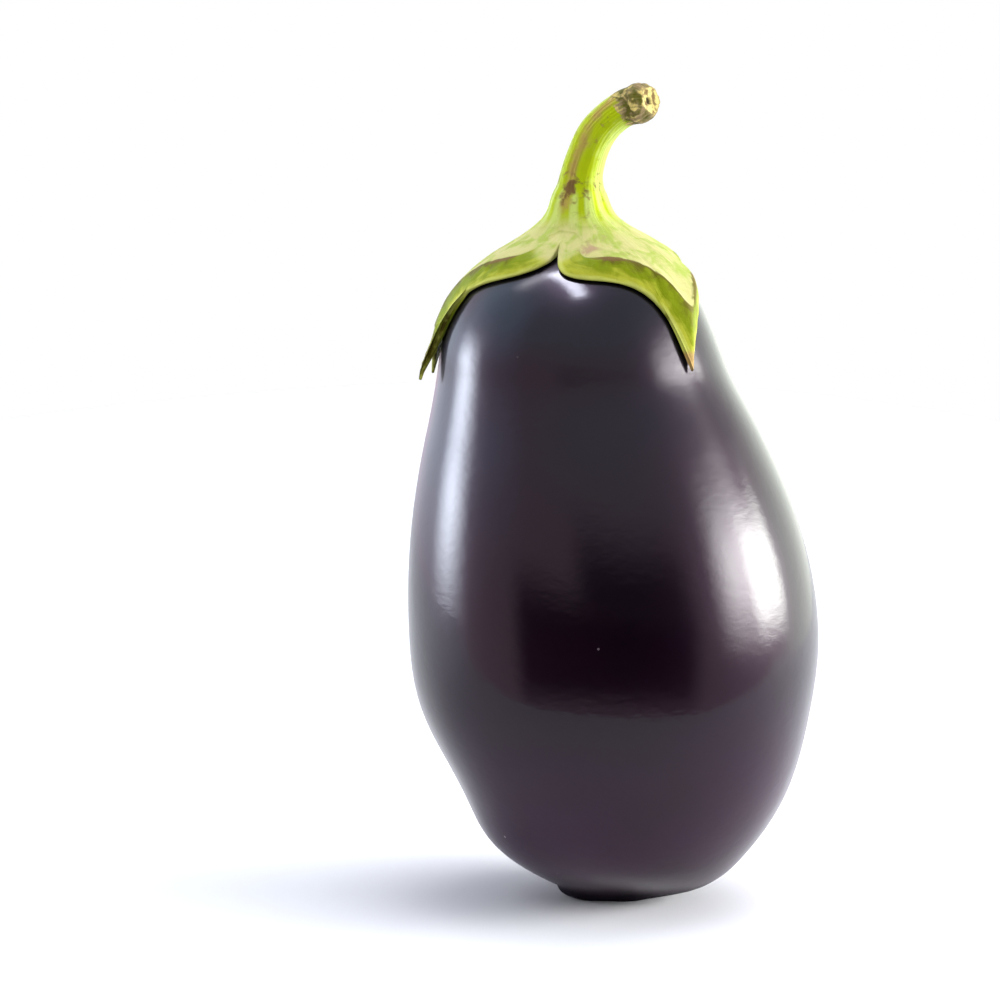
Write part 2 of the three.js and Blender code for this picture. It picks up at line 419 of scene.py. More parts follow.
@dataclass(frozen=True)
class PlantMottle:
    """The cloudy and grainy unevenness that skin and calyx share, as one node group."""

    name: str = "plant_mottle"

    def build(self) -> Tree:
        """Makes the group.

        Returns:
            A group with Places, Cloud Scale and Grain Scale in, and Cloud, Grain and Height out.
        """
        tree = bpy.data.node_groups.new(self.name, "ShaderNodeTree")
        face = tree.interface
        face.new_socket("Places", in_out="INPUT", socket_type="NodeSocketVector")
        for scale in ("Cloud Scale", "Grain Scale"):
            face.new_socket(scale, in_out="INPUT", socket_type="NodeSocketFloat")
        for output in ("Cloud", "Grain", "Height"):
            face.new_socket(output, in_out="OUTPUT", socket_type="NodeSocketFloat")
        nodes = Shading(tree)
        start = nodes.node("NodeGroupInput").outputs
        cloud = nodes.noise(start["Places"], start["Cloud Scale"], 4.0)
        grain = nodes.noise(start["Places"], start["Grain Scale"], 2.0)
        both = nodes.math("MULTIPLY_ADD", cloud, 3.0, grain)
        nodes.node("NodeGroupOutput", {"Cloud": cloud, "Grain": grain, "Height": both})
        return tree


@dataclass(frozen=True)
class SkinFinish:
    """Glossy aubergine skin: nearly black, bluish above and a redder purple below, with a painted floor
    reflection low down and painted contact shade on the foot's underside.
    """

    upper: tuple = (0.0004, 0.0012, 0.0030, 1.0)
    belly: tuple = (0.0026, 0.0002, 0.0028, 1.0)
    # lighter, redder purple low down: partly the skin's own tone, partly a painted reflection of the
    # bright floor
    bottom_purple_and_reflection: tuple = (0.0190, 0.0008, 0.0160, 1.0)
    # near black on the foot's underside: painted contact shade where the fruit rests on the floor
    sole_painted_shade: tuple = (0.0004, 0.0004, 0.0020, 1.0)
    cloud: tuple = (0.0060, 0.0006, 0.0030, 1.0)
    speck: tuple = (0.20, 0.16, 0.17, 1.0)
    scar: tuple = (0.28, 0.19, 0.10, 1.0)
    change_height: tuple = (0.055, 0.140)
    bottom_reflection_height: tuple = (0.070, 0.018)
    roughness: float = 0.34
    gloss: float = 0.12
    tint: tuple = (1.0, 0.62, 1.0, 1.0)
    coat: float = 0.42
    coat_roughness: float = 0.10

    def build(self, mottle: Tree) -> Material:
        """Makes the material.

        Args:
            mottle: The shared unevenness.

        Returns:
            The material.
        """
        material, nodes = blank_material("eggplant_skin")
        places = nodes.object_places()
        scales = {"Places": places, "Cloud Scale": 28.0, "Grain Scale": 900.0}
        cloud = nodes.node("ShaderNodeGroup", scales, node_tree=mottle).outputs["Cloud"]
        height = nodes.node("ShaderNodeSeparateXYZ", {0: places}).outputs["Z"]
        colour = nodes.blend(nodes.ease(height, *self.change_height), self.belly, self.upper)
        # low on the skin the colour turns lighter: partly the skin's tone, partly painted floor reflection
        colour = nodes.blend(nodes.ease(height, *self.bottom_reflection_height), colour, self.bottom_purple_and_reflection)
        clouds = nodes.math("MULTIPLY", nodes.ease(cloud, 0.45, 0.75), 0.6)
        colour = nodes.blend(clouds, colour, self.cloud)
        specks = nodes.math("LESS_THAN", nodes.cells(places, 130.0), 0.045)
        few = nodes.ease(nodes.noise(places, 60.0, 0.0), 0.62, 0.68)
        colour = nodes.blend(nodes.math("MULTIPLY", specks, few), colour, self.speck)
        # the foot mask dulls the gloss and paints the resting spot near black, as painted contact shade
        foot = nodes.attribute("foot")
        colour = nodes.blend(foot, colour, self.sole_painted_shade)
        colour = nodes.blend(nodes.attribute("scar"), colour, self.scar)
        rough = nodes.span(cloud, self.roughness - 0.06, self.roughness + 0.08)
        dents = nodes.noise(nodes.stretched(places, (1.0, 1.0, 1.7)), 330.0, 2.0, 0.3)
        swells = nodes.noise(nodes.stretched(places, (1.0, 1.0, 1.4)), 120.0, 1.0, 0.3)
        dented = nodes.bump(nodes.math("ADD", swells, dents), 0.6, 0.00005)
        nodes.surface(
            {
                "Base Color": colour,
                "Roughness": nodes.math("MULTIPLY_ADD", foot, 0.5, rough),
                "Specular IOR Level": self.gloss,
                "Specular Tint": self.tint,
                "Coat Weight": nodes.math("MULTIPLY_ADD", foot, -self.coat, self.coat),
                "Coat Roughness": self.coat_roughness,
                "Normal": dented,
                "Coat Normal": dented,
            }
        )
        return material


@dataclass(frozen=True)
class CalyxFinish:
    """Fleshy green of the calyx and stem, creamy on top, with corky brown scuffs, painted shade on the
    sepal walls and lining, and painted highlights down the stem's sides.
    """

    rim: tuple = (0.52, 0.55, 0.11, 1.0)
    wall_low: tuple = (0.42, 0.43, 0.035, 1.0)
    # darker green up the wall towards the fold: partly the wall's own green, partly painted shade
    wall_green_and_shade: tuple = (0.195, 0.250, 0.004, 1.0)
    wall_brown: tuple = (0.110, 0.095, 0.008, 1.0)
    cream: tuple = (0.56, 0.53, 0.21, 1.0)
    top_green: tuple = (0.37, 0.45, 0.075, 1.0)
    pink: tuple = (0.44, 0.30, 0.17, 1.0)
    stem_green: tuple = (0.40, 0.50, 0.004, 1.0)
    # lighter yellow-green of the stem's ribs and of the painted highlights down its sides
    stem_pale_and_highlight: tuple = (0.52, 0.63, 0.14, 1.0)
    cork: tuple = (0.42, 0.30, 0.075, 1.0)
    tan: tuple = (0.44, 0.29, 0.10, 1.0)
    brown: tuple = (0.165, 0.098, 0.030, 1.0)
    knob: tuple = (0.090, 0.085, 0.010, 1.0)
    knob_brown: tuple = (0.30, 0.22, 0.11, 1.0)
    knob_pale: tuple = (0.60, 0.48, 0.15, 1.0)
    dark: tuple = (0.030, 0.020, 0.005, 1.0)
    straw: tuple = (0.66, 0.56, 0.20, 1.0)
    # dark green of the lining: partly its own green, partly painted shade under the calyx
    under: tuple = (0.10, 0.13, 0.012, 1.0)
    roughness: float = 0.55
    gloss: float = 0.16

    def build(self, mottle: Tree) -> Material:
        """Makes the material.

        Args:
            mottle: The shared unevenness.

        Returns:
            The material.
        """
        material, nodes = blank_material("calyx_green")
        places = nodes.object_places()
        scales = {"Places": places, "Cloud Scale": 260.0, "Grain Scale": 1500.0}
        uneven = nodes.node("ShaderNodeGroup", scales, node_tree=mottle).outputs
        fibres = nodes.noise(nodes.attribute("grain", "Vector"), 7.0, 4.0, 0.5)
        streaks = nodes.noise(nodes.attribute("flow", "Vector"), 1.0, 4.0, 0.8)
        blotches = nodes.noise(places, 210.0, 4.0, 0.6)
        flecks = nodes.noise(places, 520.0, 3.0, 0.4)
        colour = self.calyx_colour(nodes, streaks, fibres, blotches)
        over = {
            "stem": self.stem_colour(nodes, fibres, blotches, flecks),
            "cut": nodes.blend(nodes.ease(flecks, 0.46, 0.62), self.straw, self.brown),
            # the lining's darker green is partly painted shade
            "under": self.under,
            "dark": self.dark,
        }
        for name, layer in over.items():
            colour = nodes.blend(nodes.attribute(name), colour, layer)
        relief = nodes.math("MULTIPLY_ADD", fibres, 3.0, uneven["Height"])
        relief = nodes.math("MULTIPLY_ADD", streaks, 2.5, relief)
        nodes.surface(
            {
                "Base Color": colour,
                "Roughness": nodes.span(uneven["Cloud"], self.roughness - 0.1, self.roughness + 0.15),
                "Specular IOR Level": self.gloss,
                "Normal": nodes.bump(relief, 0.6, 0.00012),
            }
        )
        return material

    def calyx_colour(self, nodes: Shading, streaks: Socket, fibres: Socket, blotches: Socket) -> Socket:
        """Colours the sepals: walls darker towards the fold, which is partly painted shade on the steep
        flank, a broken brown crest, a creamy top.

        Args:
            nodes: The material's nodes.
            streaks: Noise that runs along the margin.
            fibres: Noise that runs out from the stem.
            blotches: Round noise.

        Returns:
            The colour's socket.
        """
        mixed = nodes.math("MULTIPLY_ADD", blotches, 0.5, nodes.math("MULTIPLY", streaks, 0.5))
        # the wall darkens towards the fold: painted shade where the steep flank faces away from the light
        high = nodes.ease(nodes.ragged("band", mixed, -1.0, 1.0), 0.05, 0.55)
        wall = nodes.blend(high, self.wall_low, self.wall_green_and_shade)
        edge = nodes.ease(nodes.ragged("band", streaks, -0.2, 0.2), 0.16, 0.04)
        wall = nodes.blend(edge, wall, self.rim)
        worn = nodes.ease(nodes.ragged("band", blotches, -0.9, 0.6), 0.47, 0.98)
        wall = nodes.blend(worn, wall, self.wall_brown)
        clouds = nodes.math("MULTIPLY_ADD", fibres, 0.35, nodes.math("MULTIPLY", blotches, 0.65))
        top = nodes.blend(nodes.ease(clouds, 0.44, 0.60), self.cream, self.top_green)
        bruised = nodes.math("MULTIPLY_ADD", nodes.attribute("bruise"), 0.30, blotches)
        top = nodes.blend(nodes.ease(bruised, 0.62, 0.82), top, self.pink)
        over = nodes.ease(nodes.ragged("top", blotches, -0.25, 0.25), 0.3, 0.7)
        colour = nodes.blend(over, wall, top)
        scuffs = nodes.ease(nodes.ragged("scuff", mixed, -1.5, 1.1), 0.1, 0.5)
        crest = nodes.blend(nodes.attribute("worn"), self.brown, self.wall_brown)
        colour = nodes.blend(scuffs, colour, crest)
        dry = nodes.ease(nodes.ragged("tip", blotches, -0.4, 0.4), 0.2, 0.8)
        return nodes.blend(dry, colour, self.tan)

    def stem_colour(self, nodes: Shading, fibres: Socket, blotches: Socket, flecks: Socket) -> Socket:
        """Colours the stem: green with lighter ribs near its base and painted highlights down its sides,
        corky on its outer side and its knob.

        Args:
            nodes: The material's nodes.
            fibres: Noise that runs along the stem.
            blotches: Round noise.
            flecks: Finer round noise.

        Returns:
            The colour's socket.
        """
        # lighter streaks down the stem's right and left sides are painted highlights facing the side
        # windows; near the base the same colour marks real ribs
        pale_ribs_and_highlight = nodes.ragged("pale_ribs_and_highlight", fibres, -0.35, 0.35)
        pale_ribs_and_highlight = nodes.math("ADD", pale_ribs_and_highlight, nodes.span(blotches, -0.4, 0.4))
        colour = nodes.blend(nodes.ease(pale_ribs_and_highlight, 0.15, 0.8), self.stem_green, self.stem_pale_and_highlight)
        corky = nodes.ragged("cork", blotches, -0.55, 0.4)
        corky = nodes.math("ADD", corky, nodes.span(flecks, -0.5, 0.5))
        colour = nodes.blend(nodes.ease(corky, 0.1, 1.0), colour, self.cork)
        blobs = nodes.ease(nodes.ragged("blob", flecks, -1.3, 1.1), 0.1, 0.7)
        colour = nodes.blend(blobs, colour, self.brown)
        patches = nodes.math("MULTIPLY_ADD", flecks, 0.35, nodes.math("MULTIPLY", blotches, 0.65))
        knob = nodes.blend(nodes.ease(patches, 0.42, 0.56), self.knob, self.knob_brown)
        knob = nodes.blend(nodes.ease(flecks, 0.52, 0.68), knob, self.knob_pale)
        return nodes.blend(nodes.ease(nodes.ragged("knob", flecks, -0.9, 0.9), 0.3, 0.6), colour, knob)


@dataclass(frozen=True)
class FloorFinish:
    """Matt white studio paper."""

    colour: tuple = (0.90, 0.905, 0.92, 1.0)
    roughness: float = 0.75
    gloss: float = 0.2

    def build(self) -> Material:
        """Makes the material.

        Returns:
            The material.
        """
        material, nodes = blank_material("white_floor")
        fed = {"Base Color": self.colour, "Roughness": self.roughness}
        nodes.surface(fed | {"Specular IOR Level": self.gloss})
        return material


def deselect_all() -> None:
    """Leaves object mode with nothing selected, so that an operator acts on the new piece alone."""
    if bpy.context.mode != "OBJECT":
        bpy.ops.object.mode_set(mode="OBJECT")
    bpy.ops.object.select_all(action="DESELECT")


def vertices_of(piece: Item) -> Array:
    """Reads the places of a piece's vertices.

    Args:
        piece: The piece.

    Returns:
        One place a row, in millimetres.
    """
    places = np.zeros(len(piece.data.vertices) * 3)
    piece.data.vertices.foreach_get("co", places)
    return places.reshape(-1, 3) / MM


def move_vertices(piece: Item, places: Array) -> None:
    """Puts a piece's vertices at new places, given in millimetres."""
    piece.data.vertices.foreach_set("co", (places * MM).ravel())
    piece.data.update()


def paint(piece: Item, name: str, values: Array) -> None:
    """Keeps a value or a vector for each vertex as an attribute.

    Args:
        piece: The piece.
        name: The attribute's name.
        values: One number, or three, for each vertex.
    """
    kind = "FLOAT" if values.ndim == 1 else "FLOAT_VECTOR"
    layer = piece.data.attributes.new(name, kind, "POINT")
    layer.data.foreach_set("value" if values.ndim == 1 else "vector", values.ravel())


def dress_smooth(piece: Item, finish: Material) -> None:
    """Gives a piece smooth shading and its one material.

    Args:
        piece: The piece.
        finish: The material.
    """
    piece.data.materials.clear()
    piece.data.materials.append(finish)
    deselect_all()
    piece.select_set(True)
    bpy.context.view_layer.objects.active = piece
    bpy.ops.object.shade_smooth()


@dataclass
class Fruit:
    """The berry: one skin, lathed from its outline and then grown out of round."""

    form: FruitForm
    sides: int = 224
    spot_rows: int = 8
    foot_rows: int = 52
    flank_rows: int = 40
    crown_rows: int = 26
    scar_radius: float = 3.2
    scar_depth: float = 0.7
    dull_and_shade_height: tuple = (1.5, 7.0)
    wave: float = 0.10
    wave_scale: float = 0.030
    small_wave_share: float = 0.2
    small_wave_scale: float = 0.09
    wave_heights: tuple = ((4.0, 22.0), (128.0, 146.0))

    def outline(self) -> Array:
        """Draws half of the round fruit's outline.

        Returns:
            Its corners, from the middle of the flat spot to the crown.
        """
        spot = np.zeros((self.spot_rows, 2))
        spot[:, 0] = np.linspace(0, self.form.flat_spot_radius, self.spot_rows)
        rows = {Stretch.FOOT: self.foot_rows, Stretch.FLANK: self.flank_rows, Stretch.TOP: self.crown_rows}
        return np.concatenate((spot, *[self.form.line(part, rows[part])[1:] for part in Stretch]))

    def lathe(self) -> Item:
        """Draws the outline by extruding a point along it, and spins it about the upright axis.

        Returns:
            The round fruit.
        """
        deselect_all()
        bpy.ops.mesh.primitive_plane_add(size=MM, location=(0.0, 0.0, 0.0))
        piece = bpy.context.active_object
        piece.name = "fruit_skin"
        piece.data.name = "fruit_skin"
        bpy.ops.object.mode_set(mode="EDIT")
        bpy.ops.mesh.select_all(action="SELECT")
        bpy.ops.mesh.merge(type="CENTER")
        for step in np.diff(self.outline(), axis=0):
            move = (float(step[0]) * MM, 0.0, float(step[1]) * MM)
            bpy.ops.mesh.extrude_region_move(TRANSFORM_OT_translate={"value": move})
        bpy.ops.mesh.select_all(action="SELECT")
        bpy.ops.mesh.spin(
            steps=self.sides, angle=2 * math.pi, center=(0.0, 0.0, 0.0), axis=(0.0, 0.0, 1.0)
        )
        bpy.ops.mesh.select_all(action="SELECT")
        bpy.ops.mesh.remove_doubles(threshold=0.005 * MM)
        bpy.ops.mesh.normals_make_consistent(inside=False)
        bpy.ops.object.mode_set(mode="OBJECT")
        return piece

    def grow(self, piece: Item) -> None:
        """Moves each vertex from the round outline to the real skin, with its slow waves.

        Args:
            piece: The round fruit.
        """
        round_places = vertices_of(piece)
        radius = np.hypot(round_places[:, 0], round_places[:, 1])
        azimuth = np.degrees(np.arctan2(round_places[:, 0], -round_places[:, 1]))
        height = np.clip(round_places[:, 2], 0.0, self.form.height)
        grown = self.form.skin(radius, height, azimuth)
        from_foot, to_neck = self.wave_heights
        free = smoothstep(height, *from_foot) * (1.0 - smoothstep(height, *to_neck))
        small = self.small_wave_share * roughness_at(grown, self.small_wave_scale, 9.0)
        waves = roughness_at(grown, self.wave_scale, 4.0) + small
        turn = np.radians(azimuth)
        outward = np.stack([np.sin(turn), -np.cos(turn)], axis=1)
        grown[:, :2] += outward * (self.wave * free * waves)[:, None]
        scar = bell(np.where(height < 1.0, radius, 99.0), 0.0, self.scar_radius)
        grown[:, 2] += self.scar_depth * scar
        move_vertices(piece, grown)
        # the foot mask, which the skin reads for its dull gloss and its painted contact shade
        paint(piece, "foot", 1.0 - smoothstep(height, *self.dull_and_shade_height))
        patchy = 1.0 + 0.5 * roughness_at(grown, 0.9, 2.0)
        paint(piece, "scar", np.clip(1.6 * scar * patchy - 0.25, 0.0, 1.0))

    def build(self, finish: Material) -> Item:
        """Makes the fruit and dresses it.

        Args:
            finish: The skin's material.

        Returns:
            The finished piece.
        """
        piece = self.lathe()
        self.grow(piece)
        dress_smooth(piece, finish)
        return piece


@dataclass(frozen=True)
class Sepal:
    """One pointed lobe of the calyx, drawn on the skin from notch to tip to the next notch."""

    notch: tuple
    before: tuple
    tip: tuple
    after: tuple
    lift: float
    columns: int


@dataclass
class Ring:
    """A ring of points round the calyx or stem, with what the finish needs to know of each."""

    points: Array
    azimuth: Array
    inward: Array
    depth: Array
    stem: float = 0.0
    under: float = 0.0
    along: float = 0.0
    cut: float = 0.0
    dark: float = 0.0


@dataclass
class CalyxAndStem:
    """The calyx and the stub of stem: one skin from the lining to the cut end."""

    form: FruitForm
    sepals: tuple = (
        Sepal((-20, 16), ((-16, 36.6), (43, 11.1)), (47, 50.7), ((92, 34), (64, 30)), 0.15, 32),
        Sepal((88, 21), ((90, 34), (120, 22)), (124, 46), ((155, 34), (128, 22)), 1.6, 16),
        Sepal((156, 19), ((158, 35), (182, 21)), (186, 50), ((210, 35), (190, 21)), 0.8, 16),
        Sepal((212, 20), ((216, 38), (258, 18)), (260, 55.8), ((266, 50), (262.5, 52)), 1.0, 16),
        Sepal((266, 48), ((267, 52), (269, 54)), (274, 56.6), ((322.4, 33.6), (268.7, 19)), 3.2, 24),
    )
    finer: int = 6
    skin_gap: float = 0.32
    rim_gap: float = 0.12
    rim_thickness: float = 0.75
    rim_curl_width: float = 2.5
    rim_swell: float = 0.22
    fold_width: float = 4.7
    fold_fade: float = 3.0
    flank_roundness: float = 0.85
    fold_height: float = 3.2
    fold_tilt: float = 0.7
    blade_height: float = 2.2
    blade_tilt: float = 0.4
    thick_azimuth: float = 70.0
    tip_lift_length: float = 15.0
    tip_lift_power: float = 1.5
    flare_height: float = 1.8
    flare_spread: float = 3.6
    collar_reach: float = 9.5
    crown_gap: float = 0.9
    open_notch_count: int = 4
    notch_cut: float = 1.4
    notch_cut_width: float = 4.5
    notch_shift: float = -0.9
    notch_rim: float = 1.5
    notch_rim_width: float = 3.6
    notch_width: float = 8.0
    notch_spread: float = 0.9
    tip_width: float = 6.0
    first_dry_tip: int = 3
    dry_width: float = 16.0
    bruise: tuple = (5.0, 17.5, 4.5)
    bruise_width: float = 4.5
    stripe_count: int = 12
    stripe_azimuth: float = 3.0
    ease_columns: int = 10
    lining_rows: int = 12
    band_rows: int = 12
    blade_rows: int = 16
    lining_power: float = 1.3
    blade_power: float = 1.2
    fold_searches: int = 14
    vein_height: float = 0.16
    wrinkle_height: float = 0.14
    stem_line: tuple = (
        (-8.4, 0, 169.6), (-8.5, 0, 177), (-7.6, -0.4, 185),
        (-4.2, -1.5, 193.4), (1.9, -3, 199.2), (8.9, -4.7, 201.7),
    )
    stem_radii: tuple = (
        (0.05, 9.0), (0.1, 8.1), (0.155, 7.4), (0.205, 6.7), (0.255, 5.7),
        (0.34, 5.1), (0.45, 4.8), (0.57, 4.65), (0.69, 4.45), (0.8, 4.4),
        (0.87, 4.65), (0.93, 4.85), (0.965, 4.55), (0.988, 3.8), (1.0, 3.1),
    )
    stem_sides: int = 208
    stem_rows: int = 110
    wide_rows: int = 12
    middle_steps: int = 400
    ridge_height: float = 0.16
    smooth_rounds: int = 30
    smooth_rows: int = 6
    rib_count: int = 5
    rib_at_base: float = 0.055
    rib_at_end: float = 0.02
    rib_azimuth: float = 20.0
    dish_along: float = 0.988
    dish_radius: float = 1.7
    pith_along: float = 0.973
    cut_rows: int = 8
    cut_slant: float = 0.42
    knob_start: float = 0.8
    knob_wrinkle: float = 0.38
    ring_values: tuple = (
        ("azimuth", 0.0, 0.0), ("inward", 1.0, 2.0), ("depth", 99.0, 99.0), ("stem", 0.0, 1.0),
        ("along", 0.0, 1.0), ("under", 1.0, 0.0), ("cut", 0.0, 1.0), ("dark", 0.0, 1.0),
    )

    def draw_margin(self) -> None:
        """Draws the calyx's margin: an azimuth, reach, tip reach and lift for each column."""
        flat = np.array([math.radians(1.0) * self.form.neck_radius, 1.0])
        drawn = []
        starts = []
        middles = []
        tips = []
        lifts = []
        for k, sepal in enumerate(self.sepals):
            nearest = self.sepals[(k + 1) % len(self.sepals)].notch
            turn = 360.0 if k + 1 == len(self.sepals) else 0.0
            next_notch = (nearest[0] + turn, nearest[1])
            half = sepal.columns * self.finer // 2
            going = bezier(np.array([sepal.notch, *sepal.before, sepal.tip]) * flat, half)
            coming = bezier(np.array([next_notch, *sepal.after, sepal.tip]) * flat, half)
            starts.append(len(drawn))
            middles.append(len(drawn) + half)
            drawn += [*going[:half], *coming[::-1][:half]]
            tips += [sepal.tip[1]] * (2 * half)
            lifts += [sepal.lift] * (2 * half)
        places = np.array(drawn)
        gone = distances_along(places)
        for start in starts[: self.open_notch_count]:
            apart = np.abs(gone - gone[start])
            apart = np.minimum(apart, 2.0 * gone[-1] - gone[-2] - apart)
            deep = np.clip(1.0 - apart / self.notch_cut_width, 0.0, 1.0) ** 1.3
            places += deep[:, None] * np.array([self.notch_shift, -self.notch_cut])
        self.margin = places / flat
        self.tip_reach = np.array(tips)
        self.lift = np.array(lifts)
        self.columns = len(self.margin)
        self.collar = self.sepals[0].notch[0] + 360.0 * np.arange(self.columns) / self.columns
        line = self.form.at_reach(self.margin[:, 0], self.margin[:, 1])
        ends = self.form.at_reach(self.collar, np.full(self.columns, self.collar_reach))
        self.lengths = np.linalg.norm(ends - line, axis=1)
        self.margin_line = line
        self.open_notches = line[starts[: self.open_notch_count]]
        self.tips = line[middles]
        around = distances_along(np.concatenate((line, line[:1])))
        apart = np.abs(around[:-1, None] - around[middles][None, :])
        self.from_tip = np.minimum(apart, around[-1] - apart).min(1)

    def margin_distance(self, points: Array) -> Array:
        """Measures the shortest way to the margin.

        Args:
            points: Points of the skin.

        Returns:
            A distance for each point.
        """
        start = self.margin_line
        edge = np.roll(start, -1, axis=0) - start
        away = points[:, None, :] - start[None, :, :]
        share = np.clip((away * edge).sum(2) / (edge * edge).sum(1), 0.0, 1.0)
        return np.linalg.norm(away - share[:, :, None] * edge, axis=2).min(1)

    def eased(self, values: Array) -> Array:
        """Evens out values round a ring, so that no crease runs up from a notch.

        Args:
            values: One value for each column.

        Returns:
            The evened values.
        """
        reach = np.arange(-self.ease_columns, self.ease_columns + 1)
        weights = bell(reach, 0.0, self.ease_columns / 2)
        total = sum(w * np.roll(values, int(k)) for w, k in zip(weights, reach))
        return total / weights.sum()

    def place(self, inward: Array) -> tuple[Array, Array, Array]:
        """Where the columns are at their shares of the way from margin (0) to collar (1).

        Args:
            inward: One share for each column.

        Returns:
            Azimuths, reaches and distances from the margin.
        """
        azimuth = lerp(self.margin[:, 0], self.collar, inward)
        reach = lerp(self.margin[:, 1], self.collar_reach, inward)
        return azimuth, reach, self.margin_distance(self.form.at_reach(azimuth, reach))

    def near(self, points: Array, spots: Array, width: float) -> Array:
        """How close points are to the nearest of some spots: 1 there, fading over the width."""
        apart = np.linalg.norm(points[:, None, :] - spots[None, :, :], axis=2).min(1)
        return bell(apart, 0.0, width)

    def fold_shares(self) -> Array:
        """Finds the fold, which keeps its distance from the margin.

        Returns:
            How far inward each column crosses it.
        """
        low = np.zeros(self.columns)
        high = np.ones(self.columns)
        for _ in range(self.fold_searches):
            middle = (low + high) / 2
            short = self.place(middle)[2] < self.fold_width
            low = np.where(short, middle, low)
            high = np.where(short, high, middle)
        return self.eased(self.eased(high))

    def underside(self, reach: Array, depth: Array) -> Array:
        """Height of the calyx's underside over the fruit's skin.

        Args:
            reach: Reach of each column's point.
            depth: Its distance from the margin.

        Returns:
            The heights, which rise towards a lifted tip.
        """
        curl = self.rim_gap * (1.0 - smoothstep(depth, 0.0, self.rim_curl_width))
        start = self.tip_reach - self.tip_lift_length
        near_tip = smoothstep(reach, start, start + self.tip_lift_length)
        return self.skin_gap + curl + self.lift * near_tip**self.tip_lift_power

    def rim_height(self, points: Array) -> Array:
        """The rim's thickness at points, which is more beside an open notch."""
        beside = self.near(points, self.open_notches, self.notch_rim_width)
        return self.rim_thickness + self.notch_rim * beside

    def outside(self, azimuth: Array, reach: Array, depth: Array) -> Array:
        """Height of the calyx's outside over the fruit's skin.

        Args:
            azimuth: Azimuth of each column's point.
            reach: Its reach.
            depth: Its distance from the margin.

        Returns:
            The heights: up from the rim to the fold, down to the blade, up to the stem.
        """
        lean = np.cos(np.radians(azimuth - self.thick_azimuth))
        fold = self.fold_height + self.fold_tilt * lean
        blade = self.blade_height + self.blade_tilt * lean
        points = self.form.at_reach(azimuth, reach)
        notch = self.near(points, self.open_notches, self.notch_width)
        rim = self.rim_height(points)
        width = self.fold_width * (1.0 + self.notch_spread * notch)
        climb = np.minimum(depth / width, 1.0) ** self.flank_roundness
        past = np.maximum(depth - self.fold_width, 0.0)
        top = lerp(blade, fold, np.exp(-past / self.fold_fade) * (1.0 - notch))
        flare = self.flare_height * np.exp(-(reach - self.collar_reach) / self.flare_spread)
        return self.underside(reach, depth) + lerp(rim, top, climb) + flare

    def relief(self, azimuth: Array, inward: Array, depth: Array) -> Array:
        """Fine veins that run up the sepals, and the wrinkles of their walls.

        Args:
            azimuth: Azimuth of each column's point.
            inward: Its share of the way in.
            depth: Its distance from the margin.

        Returns:
            The heights that they add.
        """
        turn = np.radians(azimuth)
        fan = np.stack([9 * np.sin(turn), 9 * np.cos(turn), 1.2 * inward], axis=1)
        veins = self.vein_height * roughness_at(fan, 1.6, 3.0) * smoothstep(depth, 0.5, 3.0)
        creases = np.stack([14 * np.sin(turn), 14 * np.cos(turn), 0.4 * depth], axis=1)
        return veins + self.wrinkle_height * roughness_at(creases, 1.3, 7.0)

    def calyx_ring(self, inward: Array, side: Side) -> Ring:
        """A ring of the calyx.

        Args:
            inward: Each column's share of the way in.
            side: The lining or the outside.

        Returns:
            The ring.
        """
        azimuth, reach, depth = self.place(inward)
        under = 1.0 if side is Side.LINING else 0.0
        if side is Side.LINING:
            above = self.underside(reach, depth)
        else:
            depth = lerp(depth, self.eased(depth), smoothstep(depth, 2.5, 5.5))
            above = self.outside(azimuth, reach, depth) + self.relief(azimuth, inward, depth)
            above = lerp(above, self.eased(above), smoothstep(depth, 3.5, 6.0))
        return Ring(self.form.over(azimuth, reach, above), azimuth, inward, depth, under=under)

    def rim_rings(self) -> list[Ring]:
        """Rounds the rim, which swells a little past the margin.

        Returns:
            Its rings, from the lining to the outside.
        """
        rings = []
        for share in (0.2, 0.5, 0.8):
            out = self.rim_swell * math.sin(math.pi * share)
            inward = -out / self.lengths
            azimuth, reach, depth = self.place(inward)
            thick = self.rim_height(self.margin_line) * share
            above = self.underside(reach, np.zeros(self.columns)) + thick
            rings.append(Ring(self.form.over(azimuth, reach, above), azimuth, inward, 0 * depth))
        return rings

    def stem_curve(self) -> None:
        """Draws the stem's middle line as a smooth curve through its points."""
        points = np.array(self.stem_line, float)
        ends = (2 * points[0] - points[1], 2 * points[-1] - points[-2])
        points = np.concatenate((ends[:1], points, ends[1:]))
        drawn = []
        for p0, p1, p2, p3 in zip(points, points[1:], points[2:], points[3:]):
            gaps = [np.linalg.norm(b - a) ** 0.5 for a, b in ((p0, p1), (p1, p2), (p2, p3))]
            leave = (p1 - p0) / gaps[0] - (p2 - p0) / (gaps[0] + gaps[1]) + (p2 - p1) / gaps[1]
            arrive = (p2 - p1) / gaps[1] - (p3 - p1) / (gaps[1] + gaps[2]) + (p3 - p2) / gaps[2]
            leave = leave * gaps[1]
            arrive = arrive * gaps[1]
            t = np.linspace(0.0, 1.0, 80, endpoint=False)[:, None]
            square = (-3 * p1 + 3 * p2 - 2 * leave - arrive) * t**2
            cubic = (2 * p1 - 2 * p2 + leave + arrive) * t**3
            drawn.append(p1 + leave * t + square + cubic)
        drawn.append(points[-2:-1])
        self.middle = evenly_along(np.concatenate(drawn), self.middle_steps)

    def stem_point(self, along: float) -> tuple[Array, Array]:
        """Finds a point of the stem's middle line.

        Args:
            along: The share of the stem's length.

        Returns:
            The point, and the direction in which the stem runs there.
        """
        place = along * self.middle_steps
        k = int(min(max(place, 1), self.middle_steps - 2))
        ahead = self.middle[k + 1] - self.middle[k - 1]
        steps = np.arange(len(self.middle))
        middle = np.array([np.interp(place, steps, axis) for axis in self.middle.T])
        return middle, ahead / np.linalg.norm(ahead)

